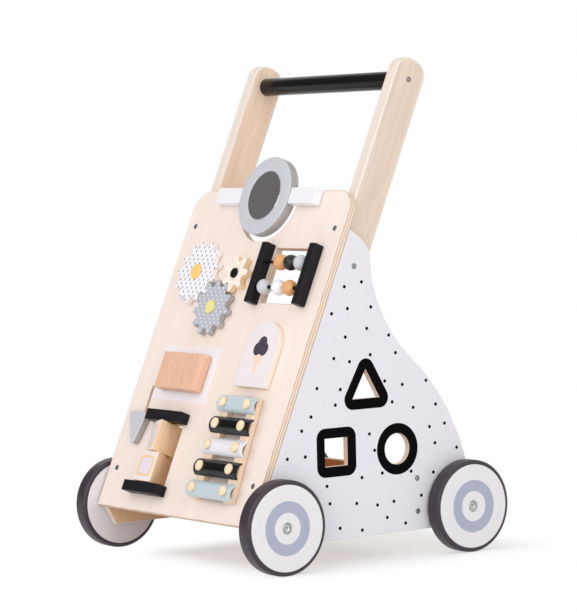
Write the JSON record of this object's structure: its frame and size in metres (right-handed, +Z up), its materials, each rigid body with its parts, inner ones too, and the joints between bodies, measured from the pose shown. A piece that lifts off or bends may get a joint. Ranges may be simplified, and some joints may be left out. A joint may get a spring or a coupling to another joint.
{
  "type": "toy hand cart",
  "caption": "Wooden push-along toy cart with a sloping activity board, shape-sorting side boards, a storage bin, a push handle and rubber-tyred wheels.",
  "frame": {"origin": "on the ground, on the middle plane, midway between the front and rear axles", "axes": "+Z up, the activity board faces -Y, +X towards the side with the xylophone"},
  "size_m": [0.333, 0.349, 0.5376],
  "materials": {
    "birch_plywood": "clear-lacquered birch plywood",
    "beech": "clear-lacquered beech",
    "steamed_beech": "clear-lacquered steamed beech",
    "natural_wood": "clear-lacquered",
    "white_printed_plywood": "matt white paint with small black dots outside, bare inside",
    "white_paint": "satin white paint on wood",
    "grey_paint": "satin pale grey paint on wood",
    "black_paint": "satin black paint on wood",
    "orange_paint": "satin orange paint on wood",
    "pale_yellow_paint": "satin pale yellow paint on wood",
    "black_rubber": "matt",
    "steel": "zinc-plated",
    "mirror": "silvered acrylic",
    "light_blue_metal": "gloss pale blue",
    "black_metal": "gloss black",
    "white_metal": "gloss white"
  },
  "bodies": {
    "cart": {"front_board": "birch_plywood", "left_side_board": "white_printed_plywood", "right_side_board": "white_printed_plywood", "left_upright": "beech", "right_upright": "beech", "handle_bar": "black_paint", "floor_board": "birch_plywood", "rear_board": "birch_plywood", "front_left_axle_bolt": "steel", "front_right_axle_bolt": "steel", "rear_left_axle_bolt": "steel", "rear_right_axle_bolt": "steel", "left_mirror_mount": "white_paint", "right_mirror_mount": "white_paint", "left_mirror_pin": "steel", "right_mirror_pin": "steel", "white_gear_pin": "orange_paint", "grey_gear_pin": "pale_yellow_paint", "natural_gear_pin": "black_paint", "left_abacus_post": "black_paint", "right_abacus_post": "black_paint", "upper_abacus_rod": "steel", "lower_abacus_rod": "steel", "lower_flip_bar": "black_paint", "upper_flip_bar": "black_paint", "flip_rod": "steel", "beech_block": "steamed_beech", "arch_plate": "birch_plywood", "left_xylophone_rail": "natural_wood", "right_xylophone_rail": "natural_wood", "xylophone_bar_1": "light_blue_metal", "xylophone_bar_2": "black_metal", "xylophone_bar_3": "white_metal", "xylophone_bar_4": "black_metal", "xylophone_bar_5": "light_blue_metal"},
    "front_left": {"front_left_wheel": "white_paint", "front_left_tyre": "black_rubber"},
    "front_right": {"front_right_wheel": "white_paint", "front_right_tyre": "black_rubber"},
    "rear_left": {"rear_left_wheel": "white_paint", "rear_left_tyre": "black_rubber"},
    "rear_right": {"rear_right_wheel": "white_paint", "rear_right_tyre": "black_rubber"},
    "mirror": {"mirror_ring": "grey_paint", "mirror_glass": "mirror"},
    "white_gear": {"white_gear": "white_paint"},
    "grey_gear": {"grey_gear": "grey_paint"},
    "natural_gear": {"natural_gear": "birch_plywood"},
    "upper_bead_natural": {"upper_bead_natural": "natural_wood"},
    "upper_bead_black": {"upper_bead_black": "black_paint"},
    "upper_bead_grey": {"upper_bead_grey": "grey_paint"},
    "lower_bead_grey": {"lower_bead_grey": "grey_paint"},
    "lower_bead_white": {"lower_bead_white": "white_paint"},
    "lower_bead_natural": {"lower_bead_natural": "natural_wood"},
    "lower_flip_block": {"lower_flip_block": "natural_wood"},
    "upper_flip_block": {"upper_flip_block": "natural_wood"},
    "slider": {"slider_triangle": "grey_paint", "slider_pin": "steel"}
  },
  "joints": [
    {"name": "front_left_roll", "type": "hinge", "parent": "cart", "child": "front_left", "pos_m": [-0.1569, -0.1245, 0.05], "axis": [1, 0, 0], "continuous": true},
    {"name": "front_right_roll", "type": "hinge", "parent": "cart", "child": "front_right", "pos_m": [0.1569, -0.1245, 0.05], "axis": [1, 0, 0], "continuous": true},
    {"name": "rear_left_roll", "type": "hinge", "parent": "cart", "child": "rear_left", "pos_m": [-0.1569, 0.1245, 0.05], "axis": [1, 0, 0], "continuous": true},
    {"name": "rear_right_roll", "type": "hinge", "parent": "cart", "child": "rear_right", "pos_m": [0.1569, 0.1245, 0.05], "axis": [1, 0, 0], "continuous": true},
    {"name": "mirror_turn", "type": "hinge", "parent": "cart", "child": "mirror", "pos_m": [0, -0.01882, 0.38846], "axis": [1, 0, 0], "continuous": true},
    {"name": "white_gear_spin", "type": "hinge", "parent": "cart", "child": "white_gear", "pos_m": [-0.08642, -0.05361, 0.30555], "axis": [0, -0.9178, 0.3971], "continuous": true},
    {"name": "grey_gear_spin", "type": "hinge", "parent": "cart", "child": "grey_gear", "pos_m": [-0.038, -0.06969, 0.26839], "axis": [0, -0.9178, 0.3971], "continuous": true},
    {"name": "natural_gear_spin", "type": "hinge", "parent": "cart", "child": "natural_gear", "pos_m": [-0.01291, -0.05375, 0.30523], "axis": [0, -0.9178, 0.3971], "continuous": true},
    {"name": "upper_bead_natural_slide", "type": "slide", "parent": "cart", "child": "upper_bead_natural", "axis": [1, 0, 0], "range_m": [-0.018, 0]},
    {"name": "upper_bead_grey_slide", "type": "slide", "parent": "cart", "child": "upper_bead_grey", "axis": [1, 0, 0], "range_m": [0, 0.003]},
    {"name": "upper_bead_black_slide", "type": "slide", "parent": "cart", "child": "upper_bead_black", "axis": [1, 0, 0], "range_m": [0, 0.003]},
    {"name": "lower_bead_grey_slide", "type": "slide", "parent": "cart", "child": "lower_bead_grey", "axis": [1, 0, 0], "range_m": [-0.0018, 0.0042]},
    {"name": "lower_bead_white_slide", "type": "slide", "parent": "cart", "child": "lower_bead_white", "axis": [1, 0, 0], "range_m": [-0.0042, 0.0012]},
    {"name": "lower_bead_natural_slide", "type": "slide", "parent": "cart", "child": "lower_bead_natural", "axis": [1, 0, 0], "range_m": [-0.0012, 0.0087]},
    {"name": "lower_flip_turn", "type": "hinge", "parent": "cart", "child": "lower_flip_block", "pos_m": [-0.0555, -0.1429, 0.09707], "axis": [0, 0.3971, 0.9178], "continuous": true},
    {"name": "upper_flip_turn", "type": "hinge", "parent": "cart", "child": "upper_flip_block", "pos_m": [-0.0555, -0.12904, 0.1291], "axis": [0, 0.3971, 0.9178], "continuous": true},
    {"name": "slider_slide", "type": "slide", "parent": "cart", "child": "slider", "axis": [0, 0.3971, 0.9178], "range_m": [0, 0.046]}
  ],
  "couplings": [
    {"joint": "grey_gear_spin", "follows": "white_gear_spin", "ratio": -1.1818},
    {"joint": "natural_gear_spin", "follows": "white_gear_spin", "ratio": 1.8571},
    {"joint": "upper_bead_black_slide", "follows": "upper_bead_grey_slide", "ratio": 1}
  ]
}
